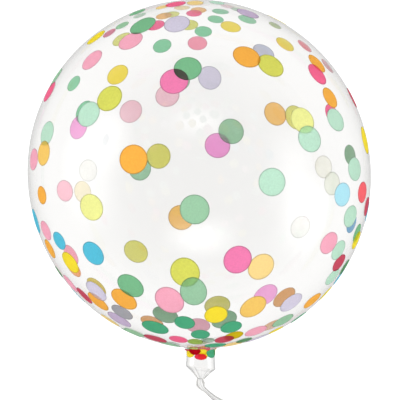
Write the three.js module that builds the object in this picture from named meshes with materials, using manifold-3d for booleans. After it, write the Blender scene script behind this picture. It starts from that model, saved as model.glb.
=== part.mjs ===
// A clear bubble balloon with a tied neck, lying on its side.
//
// The balloon is one moulded piece of clear film: a nearly round ball, a short
// straight neck that the air keeps open, the pleats where the neck is gathered
// to the knot, and the twisted tail of film that is left over past the knot.
// It is sealed, so it is modelled as one closed solid of its outer shape.
//
// Units are millimetres, +Z is up. The origin is the middle of the flat spot
// that the ball rests on. The neck points along -Y, level with the ball's centre.

import * as THREE from "three";
import { mergeVertices } from "three/addons/utils/BufferGeometryUtils.js";
import Module from "manifold-3d";

// Driving dimensions of the ball.
const BALL_RADIUS = 200; // measured across the neck's axis
const BALL_STRETCH = 1.015; // length along the neck's axis over width across it
const BALL_LEAN = 0.0075; // its longest line leans this much off the neck's axis, to the +X side
const REST_RADIUS = 22; // the flat spot where the film presses on the floor

// The neck, measured from the ball's lowest point along the axis.
const NECK_RADIUS = 16.6;
const NECK_FILLET = 5; // where the ball's film turns into the neck
const NECK_LENGTH = 22.5; // down to the shoulder
const SHOULDER_RADIUS = 17.2; // the gathers push the neck out a little here
const SHOULDER_TILT = 0.12; // the shoulder sits lower on the +X side
const KNOT_DISTANCE = 35.5;
const KNOT_RADIUS = 4;
const PLEATS = 9;
const PLEAT_DEPTH = 0.28; // share of the radius, at the knot

// The tail: a strand of film, bunched at the knot and open like a fan at its cut end.
const TAIL_BUNCHED = { width: 4.8, thickness: 4.2 };
const TAIL_END = { width: 25.6, thickness: 1.8 };
const TAIL_BULGE = { width: 4.6, thickness: 1, at: 0.09, spread: 0.06 }; // a puff past the knot
const TAIL_FAN_STARTS = 0.12; // share of the tail's length
const TAIL_TURN = Math.PI * 0.45; // how far its flat side twists along its length
const TAIL_FOLDS = 2.5; // waves from one edge of the film to the other
const TAIL_FOLD_DEPTH = 1.6;

// How finely the surfaces are faceted.
const AROUND = 72;
const BALL_STEPS = 34;
const FILLET_STEPS = 4;
const GATHER_STEPS = 7;
const TAIL_AROUND = 32;
const TAIL_STEPS = 24;

const poleY = -BALL_RADIUS * BALL_STRETCH;
const shoulderY = poleY - NECK_LENGTH;
const knotY = poleY - KNOT_DISTANCE;
const knotX = -BALL_LEAN * knotY;
const restHeight = Math.sqrt(BALL_RADIUS ** 2 - REST_RADIUS ** 2);

const wasm = await Module();
wasm.setup();

// The ball's half outline from the neck's wall up to the crown, as (radius, y).
function ballOutline() {
  const filletX = NECK_RADIUS + NECK_FILLET;
  const filletY = -Math.sqrt((BALL_RADIUS + NECK_FILLET) ** 2 - filletX ** 2);
  const touch = Math.atan2(filletY, filletX);
  const fillet = new THREE.EllipseCurve(
    filletX, filletY, NECK_FILLET, NECK_FILLET, Math.PI, touch + Math.PI, true,
  );
  const ball = new THREE.EllipseCurve(0, 0, BALL_RADIUS, BALL_RADIUS, touch, Math.PI / 2, false);
  const points = [...fillet.getPoints(FILLET_STEPS), ...ball.getPoints(BALL_STEPS).slice(1)];
  points.at(-1).x = 0;
  return points.map((p) => new THREE.Vector2(p.x, p.y * BALL_STRETCH));
}

// The gathered end of the neck, from the middle of the knot up to the shoulder.
function gatherOutline() {
  const slope = new THREE.SplineCurve([
    new THREE.Vector2(KNOT_RADIUS, knotY),
    new THREE.Vector2(KNOT_RADIUS + 2, knotY + 2),
    new THREE.Vector2(SHOULDER_RADIUS - 4.8, shoulderY - 4.2),
    new THREE.Vector2(SHOULDER_RADIUS - 0.6, shoulderY - 1),
    new THREE.Vector2(SHOULDER_RADIUS, shoulderY + 1.5),
  ]);
  return [new THREE.Vector2(0, knotY), ...slope.getPoints(GATHER_STEPS)];
}

// Turns the outline about the neck's axis, folds the pleats into it and lets it lean.
function bubbleGeometry() {
  const geometry = new THREE.LatheGeometry([...gatherOutline(), ...ballOutline()], AROUND);
  const position = geometry.getAttribute("position");
  for (let i = 0; i < position.count; i++) {
    const x = position.getX(i);
    const y = position.getY(i);
    const z = position.getZ(i);
    const gathered = THREE.MathUtils.clamp((shoulderY - y) / (shoulderY - knotY), 0, 1);
    const pleat = 1 + PLEAT_DEPTH * gathered * Math.cos(PLEATS * Math.atan2(z, x));
    const inNeck = THREE.MathUtils.smoothstep(-y, -poleY + NECK_FILLET, -shoulderY);
    const tilt = SHOULDER_TILT * inNeck * x;
    position.setXYZ(i, x * pleat - BALL_LEAN * y, y - tilt - BALL_LEAN * x, z * pleat);
  }
  return geometry;
}

// The tail's cross-section at a share of its length: a wavy strip of film.
function tailSection(share) {
  const puff = Math.exp(-(((share - TAIL_BULGE.at) / TAIL_BULGE.spread) ** 2));
  const fan = THREE.MathUtils.smoothstep(share, TAIL_FAN_STARTS, 1);
  const width = THREE.MathUtils.lerp(TAIL_BUNCHED.width, TAIL_END.width, fan ** 1.5);
  const thickness = THREE.MathUtils.lerp(TAIL_BUNCHED.thickness, TAIL_END.thickness, fan);
  return {
    halfWidth: (width + TAIL_BULGE.width * puff) / 2,
    halfThickness: (thickness + TAIL_BULGE.thickness * puff) / 2,
    foldDepth: TAIL_FOLD_DEPTH * THREE.MathUtils.smoothstep(share, 0, 0.5),
  };
}

// The line that the tail follows: down from the knot, then aside and drooping.
function tailLine() {
  const points = [
    new THREE.Vector3(knotX, knotY + 4, 0),
    new THREE.Vector3(1.2, knotY - 3.5, 0.5),
    new THREE.Vector3(3, knotY - 9.5, 0),
    new THREE.Vector3(9.5, knotY - 16, -2),
    new THREE.Vector3(19.5, knotY - 25, -7),
    new THREE.Vector3(32, knotY - 35.5, -16),
    new THREE.Vector3(43, knotY - 46, -29),
    new THREE.Vector3(50, knotY - 55, -45),
  ];
  return new THREE.CatmullRomCurve3(points, false, "centripetal");
}

// One ring of the tail's surface, across its line at a share of its length.
function tailRing(line, share) {
  const centre = line.getPointAt(share);
  const along = line.getTangentAt(share);
  const side = new THREE.Vector3().crossVectors(along, new THREE.Vector3(0, 0, 1)).normalize();
  side.applyAxisAngle(along, TAIL_TURN * share ** 1.5);
  const front = new THREE.Vector3().crossVectors(side, along);
  const { halfWidth, halfThickness, foldDepth } = tailSection(share);
  return Array.from({ length: TAIL_AROUND }, (_, corner) => {
    const angle = (corner / TAIL_AROUND) * Math.PI * 2;
    const across = Math.cos(angle);
    const fold = foldDepth * Math.sin(TAIL_FOLDS * Math.PI * across);
    return centre
      .clone()
      .addScaledVector(side, across * halfWidth)
      .addScaledVector(front, Math.sin(angle) * halfThickness + fold);
  });
}

// The tail as rings of points along its line, closed at both ends.
function tailGeometry() {
  const line = tailLine();
  const points = [];
  for (let step = 0; step <= TAIL_STEPS; step++) {
    points.push(...tailRing(line, step / TAIL_STEPS));
  }
  const first = points.push(line.getPointAt(0)) - 1;
  const last = points.push(line.getPointAt(1)) - 1;
  const lastRing = TAIL_STEPS * TAIL_AROUND;
  const index = [];
  for (let corner = 0; corner < TAIL_AROUND; corner++) {
    const next = (corner + 1) % TAIL_AROUND;
    index.push(first, corner, next, last, lastRing + next, lastRing + corner);
    for (let ring = 0; ring < lastRing; ring += TAIL_AROUND) {
      const a = ring + corner;
      const b = ring + next;
      index.push(a, a + TAIL_AROUND, b, b, a + TAIL_AROUND, b + TAIL_AROUND);
    }
  }
  return new THREE.BufferGeometry().setFromPoints(points).setIndex(index);
}

// A closed geometry as a solid that can be joined and cut.
function solid(geometry) {
  const bare = geometry.clone();
  bare.deleteAttribute("normal");
  bare.deleteAttribute("uv");
  const merged = mergeVertices(bare, 1e-4);
  return new wasm.Manifold(
    new wasm.Mesh({
      numProp: 3,
      vertProperties: merged.getAttribute("position").array,
      triVerts: new Uint32Array(merged.getIndex().array),
    }),
  );
}

// A solid as a geometry that a mesh can show.
function geometryOf(manifold) {
  const mesh = manifold.getMesh();
  const geometry = new THREE.BufferGeometry();
  geometry.setAttribute("position", new THREE.BufferAttribute(mesh.vertProperties, 3));
  geometry.setIndex(new THREE.BufferAttribute(mesh.triVerts, 1));
  geometry.computeVertexNormals();
  return geometry;
}

// Everything below the floor, as a slab that presses the flat spot into the film.
function floorSlab() {
  const depth = 20;
  const slab = new THREE.BoxGeometry(BALL_RADIUS, BALL_RADIUS, depth);
  return slab.translate(0, 0, -restHeight - depth / 2);
}

function balloon() {
  const film = solid(bubbleGeometry())
    .add(solid(tailGeometry()))
    .subtract(solid(floorSlab()));
  const material = new THREE.MeshStandardMaterial({
    color: 0xf2f3f2,
    roughness: 0.05,
    metalness: 0,
    transparent: true,
    opacity: 0.3,
  });
  const mesh = new THREE.Mesh(geometryOf(film), material);
  mesh.name = "balloon";
  mesh.position.z = restHeight;
  return mesh;
}

const group = new THREE.Group();
group.add(balloon());

export default group;
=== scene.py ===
"""A clear bubble balloon lying on its side, printed all over with coloured dots.

The film is one closed skin: ball, neck, gathers, knot and tail in a single loft. The
dots are thin coats of ink on its outer face, some of them on top of each other.

Everything is in metres. The neck points along -Y and the camera looks straight down.
"""

import math

import bpy
import numpy as np
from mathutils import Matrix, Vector


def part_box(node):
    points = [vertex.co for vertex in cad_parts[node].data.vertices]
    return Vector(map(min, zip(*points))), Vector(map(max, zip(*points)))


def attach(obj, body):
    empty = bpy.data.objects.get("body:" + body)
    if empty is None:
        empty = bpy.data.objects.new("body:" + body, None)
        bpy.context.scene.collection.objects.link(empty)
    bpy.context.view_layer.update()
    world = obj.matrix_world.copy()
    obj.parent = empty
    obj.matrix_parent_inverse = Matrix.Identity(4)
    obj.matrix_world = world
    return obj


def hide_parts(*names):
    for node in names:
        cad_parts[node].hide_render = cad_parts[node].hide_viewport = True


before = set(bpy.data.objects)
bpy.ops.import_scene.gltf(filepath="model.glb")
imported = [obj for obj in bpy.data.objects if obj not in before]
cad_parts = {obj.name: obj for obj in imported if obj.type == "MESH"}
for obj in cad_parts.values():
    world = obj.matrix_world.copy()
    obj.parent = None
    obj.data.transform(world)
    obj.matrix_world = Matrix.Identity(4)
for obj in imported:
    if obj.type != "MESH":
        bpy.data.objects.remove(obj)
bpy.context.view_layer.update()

# The ball, worked out from the CAD node that the film replaces.
BALLOON_LOW, BALLOON_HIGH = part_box("balloon")
BALL_RADIUS = (BALLOON_HIGH.x - BALLOON_LOW.x) / 2
BALL_STRETCH = BALLOON_HIGH.y / BALL_RADIUS
BALL_CENTRE = np.array([0.0, 0.0, BALLOON_HIGH.z - BALL_RADIUS])

# How far the ball leans off its axis, and the neck, as in the CAD source.
BALL_LEAN = 0.0075
NECK_RADIUS = 0.0166
NECK_FILLET = 0.005
NECK_LENGTH = 0.0225
SHOULDER_RADIUS = 0.0172
SHOULDER_TILT = 0.12
KNOT_DISTANCE = 0.0355
KNOT_RADIUS = 0.004

POLE_Y = -BALL_RADIUS * BALL_STRETCH
SHOULDER_Y = POLE_Y - NECK_LENGTH
KNOT_Y = POLE_Y - KNOT_DISTANCE

# The printed dots.
DOT_RADIUS = 0.01575
INK_THICKNESS = 0.0001
INK_GAP = 0.0002  # from the film, and between dots that are printed on each other

# Where two dots overlap, CLASH is how far the ink turns towards CLASH_COLOUR. It turns that far
# where what both inks let through is below CLASH_BELOW, and not at all above CLASH_ABOVE.
CLASH = 0.4
CLASH_BELOW = 0.46
CLASH_ABOVE = 0.56
CLASH_COLOUR = (0.12, 0, 0.06, 1)

FLOOR_WIDTH = 16.0
FLOOR_GAP = 0.0003  # so that the flat spot's film doesn't lie in the floor's own plane
FLOOR_COLOUR = (0.12, 0.12, 0.12, 1)
FLOOR_GLOW = 1.09

# The gathers in the neck and the ruffles in the tail: sums of waves around a ring, each given as
# its depth, how many there are, its phase, and how much that drifts on the way to the tail's end.
PLEAT_DEPTH = 0.3
PLEAT_EASE = 1.2  # above 1, the pleats deepen mostly near the knot
PLEATS = [(0.55, 9, 0.4, 0), (0.3, 14, 1.9, 0), (0.15, 23, 0.7, 0)]
RUFFLES = [(0.2, 9, 0.4, 2), (0.12, 17, 1.9, -3), (0.05, 29, 0.9, 4)]

# The tail. Its length runs from 0 at the knot to 1 at the cut end.
TAIL_TWIST = 0.45 * math.pi
TAIL_EASE = 1.5  # above 1, it twists and widens mostly near its end
TAIL_BUNCHED = (0.0022, 0.0018)  # half its width and half its thickness, just past the knot
TAIL_BULGE = (0.0024, 0.0008)  # what the small puff past the knot adds to them
TAIL_BULGE_AT = 0.07
TAIL_BULGE_SPREAD = 0.055
TAIL_FAN = (0.0104, -0.0009)  # what they change by where the tail fans out
TAIL_FAN_STARTS = 0.1
TAIL_FOLDS = 2.5  # waves across its width
TAIL_FOLD_DEPTH = 0.0016
TAIL_FOLDS_FULL_AT = 0.5
KNOT_BLEND = 0.05  # the part of the tail that grows out of the knot's round section

# Along Y, where the film starts and stops growing thicker: it is stretched less by the neck.
THICKENS_FROM = POLE_Y * 0.97
THICKENS_TO = POLE_Y - 0.006

# How fine the meshes are.
FILM_AROUND = 288
BALL_RINGS = 150
FILLET_RINGS = 14
NECK_RINGS = 46
TAIL_RINGS = 90
CURVE_STEPS = 24  # between two corners of a smooth curve
DOT_RINGS = 6
DOT_AROUND = 48
SHARP_EDGE = math.radians(50)  # a dot's faces that meet at more than this don't blend

rng = np.random.default_rng(11)


def smoothstep(value, low, high):
    t = np.clip((value - low) / (high - low), 0.0, 1.0)
    return t * t * (3 - 2 * t)


def waves(turn, parts, along=0.0):
    """A sum of waves around a ring, at a share of the way along the tail."""
    return sum(
        depth * np.cos(count * turn + phase + drift * along)
        for depth, count, phase, drift in parts
    )


# ---------------------------------------------------------------- the film


def ball_outline():
    """The half outline from the crown to the top of the neck's wall, as (radius, y)."""
    fillet_x = NECK_RADIUS + NECK_FILLET
    fillet_y = -math.sqrt((BALL_RADIUS + NECK_FILLET) ** 2 - fillet_x**2)
    touch = math.atan2(fillet_y, fillet_x)
    ball = np.linspace(math.pi / 2, touch, BALL_RINGS)
    fillet = np.linspace(touch + math.pi, math.pi, FILLET_RINGS)[1:]
    radius = np.concatenate(
        [BALL_RADIUS * np.cos(ball), fillet_x + NECK_FILLET * np.cos(fillet)]
    )
    y = np.concatenate(
        [BALL_RADIUS * np.sin(ball), fillet_y + NECK_FILLET * np.sin(fillet)]
    )
    radius[0] = 0.0
    return np.column_stack([radius, y * BALL_STRETCH])


def neck_outline():
    """The half outline from the neck's wall down to the knot, as (radius, y)."""
    top = ball_outline()[-1][1]
    corners = np.array(
        [
            [NECK_RADIUS, top - 0.002],
            [NECK_RADIUS, SHOULDER_Y + 0.008],
            [SHOULDER_RADIUS, SHOULDER_Y + 0.0015],
            [SHOULDER_RADIUS - 0.0006, SHOULDER_Y - 0.001],
            [SHOULDER_RADIUS - 0.0048, SHOULDER_Y - 0.0042],
            [KNOT_RADIUS + 0.002, KNOT_Y + 0.002],
            [KNOT_RADIUS, KNOT_Y],
        ]
    )
    return curve_through(corners, NECK_RINGS)


def curve_through(corners, count):
    """count points, evenly spaced, on a smooth curve through the corners."""
    fine = []
    padded = np.vstack([2 * corners[0] - corners[1], corners, 2 * corners[-1] - corners[-2]])
    for i in range(1, len(padded) - 2):
        before, start, end, after = padded[i - 1 : i + 3]
        t = np.linspace(0, 1, CURVE_STEPS, endpoint=False)[:, None]
        fine.append(
            0.5
            * (
                2 * start
                + (end - before) * t
                + (2 * before - 5 * start + 4 * end - after) * t**2
                + (3 * start - before - 3 * end + after) * t**3
            )
        )
    fine = np.vstack([*fine, corners[-1:]])
    along = np.concatenate([[0], np.cumsum(np.linalg.norm(np.diff(fine, axis=0), axis=1))])
    wanted = np.linspace(0, along[-1], count)
    return np.column_stack([np.interp(wanted, along, fine[:, k]) for k in range(fine.shape[1])])


def film_rings():
    """The film's rings from the crown to the tail's cut end, and how thick each is (0 to 1)."""
    turn = np.linspace(0, 2 * math.pi, FILM_AROUND, endpoint=False)
    rings, thick = [], []
    for radius, y in np.vstack([ball_outline()[1:], neck_outline()]):
        gathered = float(np.clip((SHOULDER_Y - y) / (SHOULDER_Y - KNOT_Y), 0, 1))
        across = radius * pleats(turn, gathered)
        ring = on_film(across, np.full(FILM_AROUND, y), turn)
        ring[:, 2] = np.maximum(ring[:, 2], 0.0)  # the flat spot on the floor
        rings.append(ring)
        thick.append(float(smoothstep(-y, -THICKENS_FROM, -THICKENS_TO)))
    for ring in tail_rings(turn):
        rings.append(ring)
        thick.append(1.0)
    return rings, thick


def on_film(radius, y, turn):
    """Points at a radius and height of the film's outline, turned about its axis from +Z."""
    in_neck = smoothstep(-y, -POLE_Y + NECK_FILLET, -SHOULDER_Y)
    x = radius * np.sin(turn)
    z = radius * np.cos(turn) + BALL_CENTRE[2]
    return np.column_stack([x - BALL_LEAN * y, y - (SHOULDER_TILT * in_neck + BALL_LEAN) * x, z])


def pleats(turn, gathered):
    """How far the gathers push the film in and out around the neck, as a share of its radius."""
    return 1 + gathered**PLEAT_EASE * PLEAT_DEPTH * waves(turn, PLEATS)


def tail_line():
    """The line that the tail follows from the knot, as in the CAD source."""
    z = BALL_CENTRE[2]
    corners = np.array(
        [
            [-BALL_LEAN * KNOT_Y, KNOT_Y, z],
            [0.0012, KNOT_Y - 0.0035, z + 0.0005],
            [0.003, KNOT_Y - 0.0095, z],
            [0.0095, KNOT_Y - 0.016, z - 0.002],
            [0.0195, KNOT_Y - 0.025, z - 0.007],
            [0.032, KNOT_Y - 0.0355, z - 0.016],
            [0.043, KNOT_Y - 0.046, z - 0.029],
            [0.05, KNOT_Y - 0.055, z - 0.045],
        ]
    )
    return curve_through(corners, TAIL_RINGS)


def tail_section(share):
    """Half the tail's width and half its thickness, at a share of its length."""
    puff = math.exp(-(((share - TAIL_BULGE_AT) / TAIL_BULGE_SPREAD) ** 2))
    fan = float(smoothstep(share, TAIL_FAN_STARTS, 1.0))
    half_width = TAIL_BUNCHED[0] + TAIL_BULGE[0] * puff + TAIL_FAN[0] * fan**TAIL_EASE
    half_thick = TAIL_BUNCHED[1] + TAIL_BULGE[1] * puff + TAIL_FAN[1] * fan
    knot = max(0.0, 1 - share / KNOT_BLEND)
    return (
        half_width * (1 - knot) + KNOT_RADIUS * knot,
        half_thick * (1 - knot) + KNOT_RADIUS * knot,
    )


def tail_rings(turn):
    """The tail as flattened, folded rings of film."""
    line = tail_line()
    along = np.gradient(line, axis=0)
    along /= np.linalg.norm(along, axis=1)[:, None]
    shares = np.linspace(0, 1, TAIL_RINGS)
    for centre, ahead, share in list(zip(line, along, shares))[1:]:
        side = np.cross(ahead, [0, 0, 1])
        side /= np.linalg.norm(side)
        front = np.cross(side, ahead)
        twist = TAIL_TWIST * share**TAIL_EASE
        side, front = (
            side * math.cos(twist) + front * math.sin(twist),
            front * math.cos(twist) - side * math.sin(twist),
        )
        half_width, half_thick = tail_section(share)
        ruffle = 1 + waves(turn, RUFFLES, share)
        fold_depth = TAIL_FOLD_DEPTH * float(smoothstep(share, 0, TAIL_FOLDS_FULL_AT))
        fold = fold_depth * np.sin(TAIL_FOLDS * math.pi * np.cos(turn))
        yield (
            centre
            + np.outer(np.cos(turn) * half_width * ruffle, side)
            + np.outer(np.sin(turn) * half_thick * ruffle + fold, front)
        )


def film_mesh():
    """The whole film as one closed mesh, with its thickness at each point."""
    rings, thick = film_rings()
    count = len(rings)
    crown = np.array([[0.0, BALLOON_HIGH.y, BALL_CENTRE[2]]])
    end = rings[-1].mean(axis=0)[None]
    points = np.vstack([crown, *rings, end])
    last = 1 + (count - 1) * FILM_AROUND
    faces = []
    for k in range(FILM_AROUND):
        n = (k + 1) % FILM_AROUND
        faces.append((0, 1 + k, 1 + n))
        faces.append((last + k, last + FILM_AROUND, last + n))
        for r in range(count - 1):
            a, b = 1 + r * FILM_AROUND, 1 + (r + 1) * FILM_AROUND
            faces.append((a + k, b + k, b + n, a + n))
    mesh = bpy.data.meshes.new("balloon_film")
    mesh.from_pydata(points.tolist(), [], faces)
    thickness = np.concatenate([[0.0], np.repeat(thick, FILM_AROUND), [1.0]])
    attribute = mesh.attributes.new("film_thickness", "FLOAT", "POINT")
    attribute.data.foreach_set("value", thickness.astype(np.float32))
    mesh.shade_smooth()
    return mesh


# ---------------------------------------------------------------- the printed dots

# Where each dot lies on the ball: its shade, two angles in degrees, and how wide and how long
# it is. The first angle turns about the neck's axis, from the side that faces up (0) to +X
# (90) and on to the floor (180). The second goes from the crown (90) to the neck (-90), and a
# dot's length lies along it. Where dots overlap, the one that comes first is printed over the
# others. The film is stretched least at the crown and at the neck, so the dots are small there.
DOTS = [
    # Upper side, by the crown.
    ("peach", -3, 72.7, 0.6, 0.7), ("raspberry", -24, 71.8, 0.72, 0.85),
    ("peach", -34, 68.5, 0.45, 0.5), ("green", -32, 54.2, 0.92, 1.1),
    ("lavender", -11.8, 54.8, 0.92, 1.12), ("violet", 39.5, 63.6, 0.82, 0.85),
    ("mint", 24, 74.5, 0.55, 0.6), ("green", -55.5, 65, 0.65, 0.62), ("sage", -48.4, 55, 0.56, 0.5),
    ("old_rose", -53, 51, 0.55, 0.53), ("yellow", 83, 62.5, 0.66, 0.8),
    # Upper side, between the crown and the middle.
    ("pink", -32.8, 46, 0.93, 0.93), ("pink", -49.2, 38.2, 0.9, 0.9),
    ("green", -4, 33.7, 0.97, 0.98), ("magenta", -8.7, 29, 1.0, 1.0),
    ("orange", 19.9, 38.8, 1.0, 0.98), ("lime", 29.3, 35.6, 1.0, 0.98),
    ("lime", -32, 23.2, 1.02, 0.96), ("mint", -39.5, 18.1, 1.0, 0.92),
    ("mint", 38, 10.6, 1.03, 0.93), ("pale_lime", 36.3, 16.5, 1.02, 0.94),
    ("mint", 52.8, 17.2, 1.0, 0.84), ("orange", -20.8, 3.7, 1.04, 1.0),
    ("mint", 23.2, -2.9, 1.02, 0.96), ("mint", 60.8, 1.6, 1.04, 0.83),
    ("amber", -61.2, 5.9, 1.0, 0.88), ("mint", -60.8, 12.3, 1.02, 0.88),
    ("pink", -70.5, 4.1, 1.05, 0.78), ("raspberry", -73, 27, 0.95, 0.8),
    ("pale_green", -76.5, 32.6, 0.85, 0.8), ("yellow", -64, 49.5, 0.85, 0.8),
    ("raspberry", 52.7, 33.3, 0.87, 0.88), ("orange", 57.9, 37.9, 0.83, 0.81),
    ("orange", 53.9, 24.8, 0.79, 0.79), ("dusty_red", 80, 26, 0.8, 0.8),
    ("yellow", 76, 11.3, 1.0, 1.0),
    # Upper side, from the middle towards the neck, on the -X half.
    ("pale_green", -1.5, -11.5, 1.02, 1.02), ("pale_lime", -37, -11.1, 1.03, 0.93),
    ("rose", -48.4, -6, 0.9, 0.74), ("orange", -63.3, -7.4, 0.78, 0.65),
    ("blue", -78, -16, 0.95, 0.92), ("pink", -67, -19, 0.9, 0.73),
    ("orange", -71, -25.4, 0.85, 0.75), ("blue", -58.3, -22.3, 0.8, 0.68),
    ("yellow", -57.2, -30, 0.92, 0.86), ("blue", -41, -26.3, 0.95, 0.91),
    ("green", -29, -38, 1.0, 1.03), ("orange", -36, -44, 1.0, 1.05),
    ("lavender", -50.3, -40.9, 0.9, 0.92), ("orange", -55.8, -45.8, 0.88, 0.95),
    ("grey", -43.8, -50.6, 0.85, 0.85), ("violet", -53.8, -55.2, 0.92, 0.98),
    ("deep_green", -29.6, -59, 1.0, 0.98), ("raspberry", -19.5, -68, 0.67, 0.75),
    ("sage", -60, -64, 0.9, 0.75), ("dusty_red", -44.8, -68.5, 0.88, 0.85),
    ("sage", -47, -76, 0.65, 0.9), ("green", -76, -65.5, 0.75, 0.8),
    ("moss", -80.5, -34.3, 0.6, 0.5), ("light_blue", -84, -44.5, 0.75, 0.75),
    ("dusty_red", -65.5, -43.6, 0.65, 0.8), ("pink", -72, -38.7, 0.75, 0.8),
    ("peach", -71, -56.6, 0.75, 0.8),
    # Upper side, from the middle towards the neck, around x = 0.
    ("pale_green", -2.7, -40, 0.94, 1.3), ("lime", -5.5, -32.5, 1.03, 1.2),
    ("pink", -13.6, -44, 1.03, 1.3), ("magenta", 13.4, -27.8, 1.0, 1.08),
    ("peach", 22.8, -30.4, 0.97, 1.05), ("amber", 25.5, -47, 0.96, 1.15),
    ("yellow", 7.9, -50.8, 0.82, 0.98), ("deep_green", -8.8, -55.3, 0.73, 0.85),
    ("deep_green", 19, -58, 0.77, 0.85), ("deep_green", 0, -63.3, 0.68, 0.8),
    ("fern", -5, -70.3, 0.55, 0.7), ("dusty_red", 20.8, -67.7, 0.7, 0.78),
    ("deep_green", 19, -75, 0.8, 0.7),
    # Upper side, from the middle towards the neck, on the +X half.
    ("light_blue", 53.2, -6.5, 1.0, 0.84), ("coral", 68.3, -5.7, 1.0, 0.76),
    ("mint", 60.6, -13.5, 1.0, 0.8), ("pink", 50.7, -22.2, 0.95, 0.83),
    ("mint", 58.9, -24.8, 0.88, 0.76), ("dusty_red", 64.8, -29.5, 0.9, 0.7),
    ("mint", 67, -35, 0.98, 0.72), ("orange", 65.2, -45.2, 0.95, 0.78),
    ("lavender", 46.7, -45.4, 0.92, 0.95), ("pale_green", 55.5, -55.2, 0.92, 0.85),
    ("pink", 41.3, -61.5, 0.85, 0.85), ("moss", 45.5, -69.5, 0.62, 0.6),
    ("peach", 43, -74.5, 0.75, 0.8), ("dusty_red", 77, -10.3, 0.85, 0.7),
    ("blue", 84, -12.1, 0.8, 0.75), ("yellow", 74.4, -21.6, 0.9, 0.7),
    ("green", 71.6, -19.1, 0.75, 0.7), ("moss", 77, -31.5, 0.75, 0.65),
    ("blue", 81, -35.3, 0.75, 0.75), ("yellow", 80, -42.5, 0.7, 0.7),
    ("deep_green", 78.5, -54.5, 0.7, 0.7), ("yellow", 68, -62, 0.55, 0.6),
    ("lavender", 66, -69, 0.75, 0.9), ("mustard", 26, -64.5, 0.68, 0.8),
    # Lower side, by the crown.
    ("rose", 127, 77.5, 0.5, 0.5), ("sage", 122, 74, 0.55, 0.5), ("peach", -155, 77, 0.62, 0.5),
    ("orange", 179.2, 75, 0.6, 0.62), ("hot_pink", -175.5, 72.2, 0.6, 0.62),
    ("lime", -152, 70.5, 0.6, 0.55), ("orange", -145, 69, 0.62, 0.6),
    ("jade", 152, 73.5, 0.66, 0.55), ("jade", 164, 67.4, 0.62, 0.62),
    ("hot_pink", -146.5, 62.3, 0.72, 0.72), ("jade", -133, 64, 0.7, 0.7),
    ("sage", -115.5, 67.5, 0.52, 0.5), ("lime", -172.5, 63.5, 0.75, 0.75),
    ("jade", 176.5, 59.5, 0.67, 0.7), ("gold", 155, 62.2, 0.8, 0.78),
    ("jade", 133, 66.3, 0.74, 0.7), ("fern", 111, 60.8, 0.6, 0.5),
    # Lower side, between the crown and the middle.
    ("lime", -129.5, 53.3, 0.8, 0.8), ("deep_pink", -179.5, 53, 0.76, 0.8),
    ("jade", -159.3, 51.2, 0.73, 0.78), ("gold", 124, 51, 0.78, 0.78),
    ("lilac", 143.6, 47.8, 0.9, 0.9), ("red", 106, 49, 0.66, 0.66),
    ("dusty_red", 99.5, 39.5, 0.66, 0.66), ("gold", -141.3, 37.3, 0.93, 0.93),
    ("lavender", 175, 37, 0.92, 1.1), ("sage", -171, 35.5, 0.95, 0.95),
    ("jade", -116.9, 32.5, 0.75, 0.68), ("rose", -167, 29.5, 0.97, 0.97),
    ("hot_pink", 119.5, 21.6, 0.85, 0.85), ("rose", -152.5, 23.1, 0.97, 0.95),
    ("tan", 149, 22.5, 0.97, 0.97), ("olive", 140, 21, 1.0, 1.0), ("jade", -131, 22.1, 0.95, 0.95),
    ("orchid", -129.5, 16.6, 0.95, 0.95), ("orchid", 173.2, 11, 1.03, 1.0),
    ("sage", 167.8, 16.2, 1.03, 1.03),
    # Lower side, around the middle.
    ("sage", -158, 2.5, 0.95, 0.95), ("olive", -165, 7, 1.0, 1.0), ("moss", 113.3, 7.2, 0.9, 0.78),
    # The cream, pale sage, white and pale peach dots here are pale by painted reflection: the
    # film's shine over them is painted into their ink.
    ("cream_painted_reflection", 130, 3.3, 0.95, 0.87), ("sage_painted_reflection", 125.5, -2.5, 0.95, 0.9),
    ("white", -136.5, 1.5, 0.92, 0.85), ("peach_painted_reflection", -133.5, -6, 0.9, 0.85),
    ("tan", -173, -15, 1.02, 1.02), ("white", 139, -18, 0.95, 0.9),
    ("deep_blue", 108.5, -16.3, 0.85, 0.75),
    # Lower side, towards the neck.
    ("olive", -153.2, -27.9, 1.02, 0.98), ("deep_pink", -117.5, -28.7, 0.85, 0.85),
    ("deep_orange", -113.8, -33.5, 0.9, 0.88), ("mustard", -122.5, -42, 0.93, 0.9),
    ("orchid", 145, -46, 1.0, 1.15), ("brown", 132, -46.6, 0.95, 1.05),
    ("brown", 117, -61.5, 0.85, 0.85), ("brown", -143, -61, 0.92, 0.9),
    ("moss", -157, -57, 1.0, 1.1), ("moss", 163.3, -59.7, 0.98, 1.25),
    ("khaki", 170.2, -51.8, 1.02, 1.1), ("old_rose", -178, -64, 0.95, 1.1),
    ("moss", 170, -76, 0.55, 0.6), ("fern", 180, -79, 0.5, 0.5), ("moss", -118, -79, 0.7, 0.6),
]  # fmt: skip

# The dots on the neck, where the film isn't stretched: shade, angle about its axis, how far
# their middles are down the neck from the end of the ball, and how wide and long they are.
NECK_DOTS = [
    ("dusty_red", -58, -0.0008, 0.36, 0.3), ("dusty_red", 42, -0.0018, 0.36, 0.3),
    ("crimson", -23, 0.0008, 0.46, 0.4), ("red", 0, 0.009, 0.43, 0.23),
    ("yellow", 6, 0.0025, 0.34, 0.34), ("yellow", 9, 0.0078, 0.34, 0.27),
    ("yellow", -50, 0.0055, 0.46, 0.33), ("deep_green", 50, 0.005, 0.5, 0.34),
    ("lime", 82, 0.0035, 0.4, 0.3), ("lime", -155, 0.003, 0.5, 0.33), ("red", 165, 0.002, 0.5, 0.3),
    ("green", -125, 0.005, 0.4, 0.3), ("pink", 125, 0.006, 0.45, 0.3),
]  # fmt: skip


def direction(around, up):
    """The unit vector from the ball's centre to a place on it."""
    a, u = math.radians(around), math.radians(up)
    return np.array([math.cos(u) * math.sin(a), math.sin(u), math.cos(u) * math.cos(a)])


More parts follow.
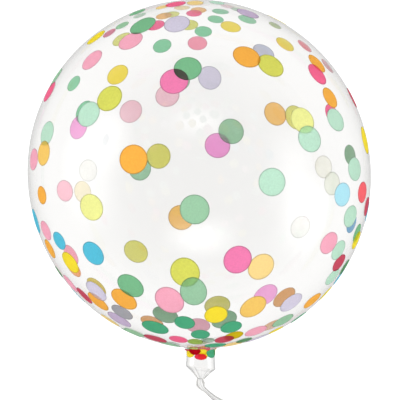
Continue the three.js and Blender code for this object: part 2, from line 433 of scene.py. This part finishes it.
def set_layers(dots):
    """Works out how many layers each dot is printed on, and which dot it overlaps most."""
    for i in reversed(range(len(dots))):
        deepest = 0.0
        for under in dots[i + 1 :]:
            apart = np.linalg.norm(dots[i].middle - under.middle)
            overlap = max(dots[i].size) + max(under.size) - apart
            if overlap > 0:
                dots[i].level = max(dots[i].level, under.level + 1)
            if overlap > deepest:
                deepest = overlap
                dots[i].under = under


def ball_place(around, up):
    """A function that lays a dot's flat plan on the ball, at a height above the film."""
    out = direction(around, up)
    side = direction(around + 90, 0)
    other = np.cross(out, side)

    def place(a, b, height):
        reach = math.hypot(a, b)
        bend = reach / BALL_RADIUS
        towards = math.cos(bend) * out
        if reach:
            towards += math.sin(bend) / reach * (a * side + b * other)
        radius = (BALL_RADIUS + height) * math.hypot(towards[0], towards[2])
        y = (BALL_RADIUS + height) * towards[1] * BALL_STRETCH
        return on_film(radius, y, math.atan2(towards[0], towards[2]))[0]

    return place


# The film's outline, with the length along it and the way out of the balloon.
WALL = np.vstack([ball_outline(), neck_outline()[1:]])
WALL_ALONG = np.concatenate([[0.0], np.cumsum(np.linalg.norm(np.diff(WALL, axis=0), axis=1))])
WALL_SLOPE = np.gradient(WALL, WALL_ALONG, axis=0)
WALL_OUTWARD = np.column_stack([-WALL_SLOPE[:, 1], WALL_SLOPE[:, 0]])


def neck_place(around, down):
    """A function that lays a dot's flat plan on the neck's wall, at a height above the film."""
    middle = np.interp(down - POLE_Y, -WALL[:, 1], WALL_ALONG)

    def place(a, b, height):
        along = middle + b
        radius, y = (np.interp(along, WALL_ALONG, WALL[:, k]) for k in (0, 1))
        outward = [np.interp(along, WALL_ALONG, WALL_OUTWARD[:, k]) for k in (0, 1)]
        angle = math.radians(around) + a / radius
        return on_film(radius + height * outward[0], y + height * outward[1], angle)[0]

    return place


class Dot:
    """One dot of ink: its shade, a function that places it, and half its width and length."""

    def __init__(self, shade, place, wide, long):
        self.shade = shade
        self.place = place
        self.size = (DOT_RADIUS * wide, DOT_RADIUS * long)
        self.middle = place(0, 0, 0)
        self.level = 0
        self.under = None
        self.seed = rng.random()


def dot_face(dot, face):
    """The inner (0) or outer (1) face of a dot: its points from the middle out, and their UVs."""
    points, flat = [], []
    height = INK_GAP * (dot.level + 1) + face * INK_THICKNESS
    for ring in range(DOT_RINGS + 1):
        share = ring / DOT_RINGS
        for k in range(DOT_AROUND if ring else 1):
            turn = 2 * math.pi * k / DOT_AROUND
            a, b = share * math.cos(turn), share * math.sin(turn)
            points.append(dot.place(a * dot.size[0], b * dot.size[1], height))
            flat.append((0.5 + 0.5 * a, 0.5 + 0.5 * b))
    return points, flat


def face_faces(start):
    """The faces of one side of a dot whose middle point is number start."""
    faces = []
    for k in range(DOT_AROUND):
        n = (k + 1) % DOT_AROUND
        faces.append((start, start + 1 + k, start + 1 + n))
        for ring in range(DOT_RINGS - 1):
            a = start + 1 + ring * DOT_AROUND
            b = a + DOT_AROUND
            faces.append((a + k, b + k, b + n, a + n))
    return faces


def ink_clash(one, other):
    """How much more light is lost where two inks overlap that let different colours through."""
    both = max(a * b for a, b in zip(INKS[one][0], INKS[other][0]))
    return CLASH * float(1 - smoothstep(both, CLASH_BELOW, CLASH_ABOVE))


def dots_piece(name, dots):
    """All dots of one shade as one mesh, with what its material needs to know of each dot."""
    points, flat, faces = [], [], []
    per_face = 1 + DOT_RINGS * DOT_AROUND
    for dot in dots:
        start = len(points)
        for face in (0, 1):
            more, uv = dot_face(dot, face)
            points += more
            flat += uv
        faces += [f[::-1] for f in face_faces(start)]
        faces += face_faces(start + per_face)
        rim = start + 1 + (DOT_RINGS - 1) * DOT_AROUND
        for k in range(DOT_AROUND):
            n = (k + 1) % DOT_AROUND
            faces.append((rim + k, rim + n, rim + per_face + n, rim + per_face + k))
    mesh = bpy.data.meshes.new(name)
    mesh.from_pydata([tuple(p) for p in points], [], faces)
    uv_layer = mesh.uv_layers.new(name="dot")
    corners = np.array([loop.vertex_index for loop in mesh.loops])
    uv_layer.data.foreach_set("uv", np.array(flat, np.float32)[corners].ravel())
    below = [dot.under or dot for dot in dots]
    of_each_dot = {
        "dot_seed": [dot.seed for dot in dots],
        "under_reach": [sum(u.size) / 2 if d.under else 0.0 for d, u in zip(dots, below)],
        "under_clash": [ink_clash(d.shade, u.shade) for d, u in zip(dots, below)],
    }
    for key, values in of_each_dot.items():
        attribute = mesh.attributes.new(key, "FLOAT", "POINT")
        attribute.data.foreach_set("value", np.repeat(np.array(values, np.float32), 2 * per_face))
    middles = np.array([under.middle for under in below], np.float32)
    attribute = mesh.attributes.new("under_middle", "FLOAT_VECTOR", "POINT")
    attribute.data.foreach_set("vector", np.repeat(middles, 2 * per_face, axis=0).ravel())
    mesh.shade_smooth()
    mesh.set_sharp_from_angle(angle=SHARP_EDGE)
    piece = bpy.data.objects.new(name, mesh)
    bpy.context.scene.collection.objects.link(piece)
    return piece


# ---------------------------------------------------------------- materials


class Nodes:
    """A short way to write the nodes of a material or a light."""

    def __init__(self, tree):
        self.tree = tree
        self.tree.nodes.clear()

    def add(self, kind, values=None, **settings):
        node = self.tree.nodes.new(kind)
        for key, value in settings.items():
            setattr(node, key, value)
        for key, value in (values or {}).items():
            if isinstance(value, bpy.types.NodeSocket):
                self.tree.links.new(value, node.inputs[key])
            else:
                node.inputs[key].default_value = value
        return node

    def math(self, operation, a, b=0.0):
        return self.add("ShaderNodeMath", {0: a, 1: b}, operation=operation).outputs[0]

    def attribute(self, name, output="Fac"):
        return self.add("ShaderNodeAttribute", attribute_name=name).outputs[output]

    def mix(self, share, a, b):
        return self.add("ShaderNodeMix", {0: share, 6: a, 7: b}, data_type="RGBA").outputs[2]

    def finish(self, shader, kind="ShaderNodeOutputMaterial"):
        self.tree.links.new(shader, self.add(kind).inputs["Surface"])


def new_material(name):
    material = bpy.data.materials.new(name)
    material.use_nodes = True
    return material, Nodes(material.node_tree)


# The film: what it lets through where it is seen straight on and at a slant, and at a slant where
# it is gathered. The darkening towards the edge, steeper on the ball than in the folds, is partly
# the longer path through the film and partly painted shade for the dark room it mirrors there.
FILM_CLEAR = (0.886, 0.884, 0.879, 1)
FILM_EDGE_SHADE = (0.24, 0.235, 0.23, 1)
FOLD_EDGE_SHADE = (0.12, 0.125, 0.13, 1)
BALL_EDGE_POWER = 6.5
FOLD_EDGE_POWER = 3.0

# How much of the light the film mirrors: straight on, and how much more at a slant.
SHINE = 0.055
SLANT_SHINE = 0.5
SLANT_SHINE_POWER = 5.0
FILM_ROUGHNESS = 0.03


def film_material():
    """Clear film: it mirrors more and lets less through at a slant, partly by painted shade."""
    material, m = new_material("clear_film")
    facing = m.add("ShaderNodeLayerWeight", {"Blend": 0.5}).outputs["Facing"]
    thickness = m.attribute("film_thickness")
    slant = m.math("POWER", facing, SLANT_SHINE_POWER)
    mirror = m.math("ADD", m.math("MULTIPLY", slant, SLANT_SHINE), SHINE)
    softer = m.math("MULTIPLY", thickness, BALL_EDGE_POWER - FOLD_EDGE_POWER)
    # Partly painted shade: what gets through darkens towards the edge, for the dark room mirrored
    # there.
    edge = m.math("POWER", facing, m.math("SUBTRACT", BALL_EDGE_POWER, softer))
    clear_and_edge_shade = m.mix(edge, FILM_CLEAR, m.mix(thickness, FILM_EDGE_SHADE, FOLD_EDGE_SHADE))
    clear = m.add("ShaderNodeBsdfTransparent", {"Color": clear_and_edge_shade}).outputs[0]
    gloss = m.add("ShaderNodeBsdfGlossy", {"Color": (1, 1, 1, 1), "Roughness": FILM_ROUGHNESS})
    m.finish(m.add("ShaderNodeMixShader", {0: mirror, 1: clear, 2: gloss.outputs[0]}).outputs[0])
    return material


# Each shade of ink: its colour, and the name of its slot without the "dots_" in front.
INKS = {
    "mint": ((0.75, 0.90, 0.82), "mint"),
    "pale_green": ((0.62, 0.80, 0.67), "green"),
    "green": ((0.49, 0.75, 0.57), "green"),
    "jade": ((0.46, 0.80, 0.60), "green"),
    "deep_green": ((0.31, 0.69, 0.52), "green"),
    # Made pale by painted reflection: the film's shine over these dots is painted into the ink.
    "sage_painted_reflection": ((0.95, 0.98, 0.91), "green"),
    "moss": ((0.38, 0.60, 0.42), "green"),
    "sage": ((0.62, 0.80, 0.66), "green"),
    "fern": ((0.60, 0.72, 0.34), "lime"),
    "lime": ((0.85, 0.86, 0.39), "lime"),
    # These two are made pale by painted reflection: the film's shine over their dots is painted in.
    "cream_painted_reflection": ((1.00, 1.00, 0.93), "lime"),
    "white": ((1.00, 1.00, 0.97), "lime"),
    "khaki": ((0.76, 0.74, 0.33), "lime"),
    "pale_lime": ((0.93, 0.94, 0.61), "lime"),
    "olive": ((0.87, 0.86, 0.43), "lime"),
    "amber": ((1.00, 0.81, 0.43), "yellow"),
    "yellow": ((1.00, 0.89, 0.23), "yellow"),
    "gold": ((1.00, 0.87, 0.10), "yellow"),
    "mustard": ((0.82, 0.72, 0.10), "yellow"),
    "deep_orange": ((1.00, 0.56, 0.05), "orange"),
    "brown": ((0.84, 0.57, 0.25), "orange"),
    "orange": ((1.00, 0.71, 0.30), "orange"),
    "peach": ((1.00, 0.86, 0.58), "orange"),
    "tan": ((1.00, 0.77, 0.43), "orange"),
    # Made pale by painted reflection: the film's shine over this dot is painted into the ink.
    "peach_painted_reflection": ((1.00, 0.93, 0.80), "orange"),
    "pink": ((1.00, 0.69, 0.78), "pink"),
    "deep_pink": ((1.00, 0.57, 0.67), "pink"),
    "rose": ((1.00, 0.79, 0.84), "pink"),
    "old_rose": ((0.84, 0.56, 0.64), "pink"),
    "magenta": ((0.94, 0.51, 0.71), "hot_pink"),
    "orchid": ((1.00, 0.63, 0.87), "pink"),
    "hot_pink": ((1.00, 0.22, 0.50), "hot_pink"),
    "raspberry": ((1.00, 0.42, 0.59), "hot_pink"),
    "coral": ((1.00, 0.42, 0.46), "red"),
    "red": ((0.92, 0.22, 0.32), "red"),
    "crimson": ((0.72, 0.06, 0.12), "red"),
    "dusty_red": ((0.80, 0.31, 0.40), "red"),
    "violet": ((0.79, 0.72, 0.84), "lavender"),
    "lavender": ((0.85, 0.83, 0.91), "lavender"),
    "lilac": ((0.75, 0.77, 0.85), "lavender"),
    "grey": ((0.66, 0.66, 0.69), "lavender"),
    "deep_blue": ((0.12, 0.56, 0.78), "blue"),
    "blue": ((0.35, 0.77, 0.88), "blue"),
    "light_blue": ((0.70, 0.91, 1.00), "blue"),
}

# The ink: its grain, the dark line at a dot's edge (in widths of the dot, from its middle), how
# much lighter and darker than its colour it gets, and how much light comes through from behind.
GRAIN_SCALE = 15.0
GRAIN_DETAIL = 5.0
GRAIN_ROUGHNESS = 0.65
GRAIN_LOW = 0.3
GRAIN_HIGH = 0.7
GRAIN_APART = 40.0  # spreads the dots' seeds, so that each dot has a grain of its own
EDGE_STARTS = 0.455
EDGE_ENDS = 0.49
EDGE_STRENGTH = 0.55
THIN_INK = 1.06
THICK_INK = 0.94
EDGE_INK = 0.55
FROM_BEHIND = 0.84


def shaded(colour, factor):
    """A colour made lighter or darker by a factor."""
    return tuple(min(1.0, c * factor) for c in colour) + (1,)


def ink_material(name, colour):
    """A thin matt coat of ink: fine grain, a darker edge, and light from behind."""
    material, m = new_material(name)
    uv = m.add("ShaderNodeUVMap", uv_map="dot").outputs[0]
    middle = m.add("ShaderNodeVectorMath", {0: uv, 1: (0.5, 0.5, 0)}, operation="SUBTRACT")
    away = m.add("ShaderNodeVectorMath", {0: middle.outputs[0]}, operation="LENGTH")
    rim = m.add(
        "ShaderNodeMapRange",
        {
            "Value": away.outputs["Value"],
            "From Min": EDGE_STARTS,
            "From Max": EDGE_ENDS,
            "To Max": EDGE_STRENGTH,
        },
    ).outputs[0]
    grain = m.add(
        "ShaderNodeTexNoise",
        {
            "Vector": uv,
            "W": m.math("MULTIPLY", m.attribute("dot_seed"), GRAIN_APART),
            "Scale": GRAIN_SCALE,
            "Detail": GRAIN_DETAIL,
            "Roughness": GRAIN_ROUGHNESS,
        },
        noise_dimensions="4D",
    ).outputs[0]
    speckle = m.add(
        "ShaderNodeMapRange", {"Value": grain, "From Min": GRAIN_LOW, "From Max": GRAIN_HIGH}
    ).outputs[0]
    here = m.add("ShaderNodeTexCoord").outputs["Object"]
    under = m.attribute("under_middle", "Vector")
    apart = m.add("ShaderNodeVectorMath", {0: here, 1: under}, operation="DISTANCE")
    doubled = m.math("LESS_THAN", apart.outputs["Value"], m.attribute("under_reach"))
    body = m.mix(speckle, shaded(colour, THICK_INK), shaded(colour, THIN_INK))
    single = m.mix(rim, body, shaded(colour, EDGE_INK))
    clash = m.math("MULTIPLY", doubled, m.attribute("under_clash"))
    paint = m.mix(clash, single, CLASH_COLOUR)
    deep = m.add("ShaderNodeVectorMath", {0: paint, 1: paint}, operation="MULTIPLY")
    front = m.add(
        "ShaderNodeBsdfPrincipled",
        {"Base Color": deep.outputs[0], "Roughness": 0.8, "Specular IOR Level": 0.2},
    ).outputs[0]
    behind = m.add("ShaderNodeBsdfTranslucent", {"Color": paint}).outputs[0]
    m.finish(m.add("ShaderNodeMixShader", {0: FROM_BEHIND, 1: front, 2: behind}).outputs[0])
    return material


def floor_material():
    """A white table lit from below, so that no shadow shows on it."""
    material, m = new_material("floor")
    surface = m.add(
        "ShaderNodeBsdfPrincipled",
        {
            "Base Color": FLOOR_COLOUR,
            "Roughness": 0.9,
            "Specular IOR Level": 0.1,
            "Emission Color": (1, 1, 1, 1),
            "Emission Strength": FLOOR_GLOW,
        },
    ).outputs[0]
    m.finish(surface)
    return material


# ---------------------------------------------------------------- the scene

# Each softbox: its name, the way to it from the ball and how far off it is, its width and height,
# and how bright its middle is.
SOFTBOXES = [
    ("softbox_left", (-0.96, 0.0, 0.28), 1.3, (1.75, 1.4), 2.4),
    ("softbox_right", (0.93, -0.35, 0.25), 1.3, (1.2, 1.2), 3.0),
    ("softbox_front", (0.0, -0.62, 0.77), 1.6, (1.6, 0.95), 3.0),
]
FILL_WIDTH = 1.8
FILL_HEIGHT = 1.8  # above the ball's centre
FILL_POWER = 38.0

# The walls: how bright they are at the bottom and overhead, and the height (1 is straight up) from
# which they are as dark as overhead.
WALL_GLOW = 0.95
OVERHEAD_GLOW = 0.35
OVERHEAD_FROM = 0.8

LENS = 185
CAMERA_X = 0.0009
CAMERA_Y = -0.0302
CAMERA_HEIGHT = 2.4  # above the ball's centre


def add_film():
    film = bpy.data.objects.new("balloon_film", film_mesh())
    bpy.context.scene.collection.objects.link(film)
    film.data.materials.append(film_material())
    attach(film, "root")
    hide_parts("balloon")


def add_dots():
    dots = [Dot(shade, ball_place(around, up), *size) for shade, around, up, *size in DOTS]
    dots += [
        Dot(shade, neck_place(around, down), *size) for shade, around, down, *size in NECK_DOTS
    ]
    set_layers(dots)
    for shade, (colour, slot) in INKS.items():
        name = f"dots_{shade}"
        piece = dots_piece(name, [dot for dot in dots if dot.shade == shade])
        piece.data.materials.append(ink_material(name, colour))
        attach(piece, "root")
        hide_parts("balloon")


def add_floor():
    mesh = bpy.data.meshes.new("floor")
    half = FLOOR_WIDTH / 2
    corners = [(-half, -half), (half, -half), (half, half), (-half, half)]
    mesh.from_pydata([(x, y, -FLOOR_GAP) for x, y in corners], [], [(0, 1, 2, 3)])
    floor = bpy.data.objects.new("floor", mesh)
    bpy.context.scene.collection.objects.link(floor)
    floor.data.materials.append(floor_material())


def add_softbox(name, towards, distance, size, radiance):
    """A softbox that shines at the ball and fades to nothing at its edges."""
    light = bpy.data.lights.new(name, "AREA")
    light.shape = "RECTANGLE"
    light.size, light.size_y = size
    light.energy = radiance * math.pi * size[0] * size[1]
    light.use_nodes = True
    m = Nodes(light.node_tree)
    across = m.add("ShaderNodeNewGeometry").outputs["Parametric"]
    fades = []
    for part in m.add("ShaderNodeSeparateXYZ", {0: across}).outputs[:2]:
        from_middle = m.math("ABSOLUTE", m.math("SUBTRACT", part, 0.5))
        fade = m.add(
            "ShaderNodeMapRange",
            {"Value": from_middle, "From Min": 0.5, "From Max": 0.0},
            interpolation_type="SMOOTHSTEP",
        )
        fades.append(fade.outputs[0])
    strength = m.math("MULTIPLY", *fades)
    glow = m.add("ShaderNodeEmission", {"Strength": strength}).outputs[0]
    m.finish(glow, "ShaderNodeOutputLight")
    lamp = bpy.data.objects.new(name, light)
    bpy.context.scene.collection.objects.link(lamp)
    way = Vector(towards).normalized()
    lamp.location = Vector(BALL_CENTRE) + way * distance
    lamp.rotation_euler = (-way).to_track_quat("-Z", "Y").to_euler()
    lamp.visible_camera = False


def add_studio():
    """Pale walls all round, as bright as the table at the bottom, and darker overhead."""
    world = bpy.data.worlds.new("studio")
    world.use_nodes = True
    m = Nodes(world.node_tree)
    towards = m.add("ShaderNodeTexCoord").outputs["Generated"]
    height = m.add("ShaderNodeSeparateXYZ", {0: towards}).outputs["Z"]
    glow = m.add(
        "ShaderNodeMapRange",
        {
            "Value": height,
            "From Max": OVERHEAD_FROM,
            "To Min": WALL_GLOW,
            "To Max": OVERHEAD_GLOW,
        },
        interpolation_type="SMOOTHSTEP",
    ).outputs[0]
    walls = m.add("ShaderNodeBackground", {"Color": (1, 1, 1, 1), "Strength": glow})
    m.finish(walls.outputs[0], "ShaderNodeOutputWorld")
    bpy.context.scene.world = world


def add_fill():
    """Plain light from above that brightens the ink, and makes no shine on the film."""
    light = bpy.data.lights.new("fill", "AREA")
    light.shape = "DISK"
    light.size = FILL_WIDTH
    light.energy = FILL_POWER
    lamp = bpy.data.objects.new("fill", light)
    lamp.location = Vector(BALL_CENTRE) + Vector((0, 0, FILL_HEIGHT))
    lamp.visible_camera = False
    lamp.visible_glossy = False
    bpy.context.scene.collection.objects.link(lamp)


def add_lights():
    add_fill()
    for softbox in SOFTBOXES:
        add_softbox(*softbox)
    add_studio()


def add_camera():
    camera = bpy.data.cameras.new("camera")
    camera.lens = LENS
    camera.sensor_width = 36
    camera.clip_end = 50
    holder = bpy.data.objects.new("camera", camera)
    bpy.context.scene.collection.objects.link(holder)
    holder.location = (CAMERA_X, CAMERA_Y, BALL_CENTRE[2] + CAMERA_HEIGHT)
    bpy.context.scene.camera = holder


add_film()
add_dots()
add_floor()
add_lights()
add_camera()

scene = bpy.context.scene
scene.view_settings.view_transform = "Standard"
scene.cycles.use_denoising = True
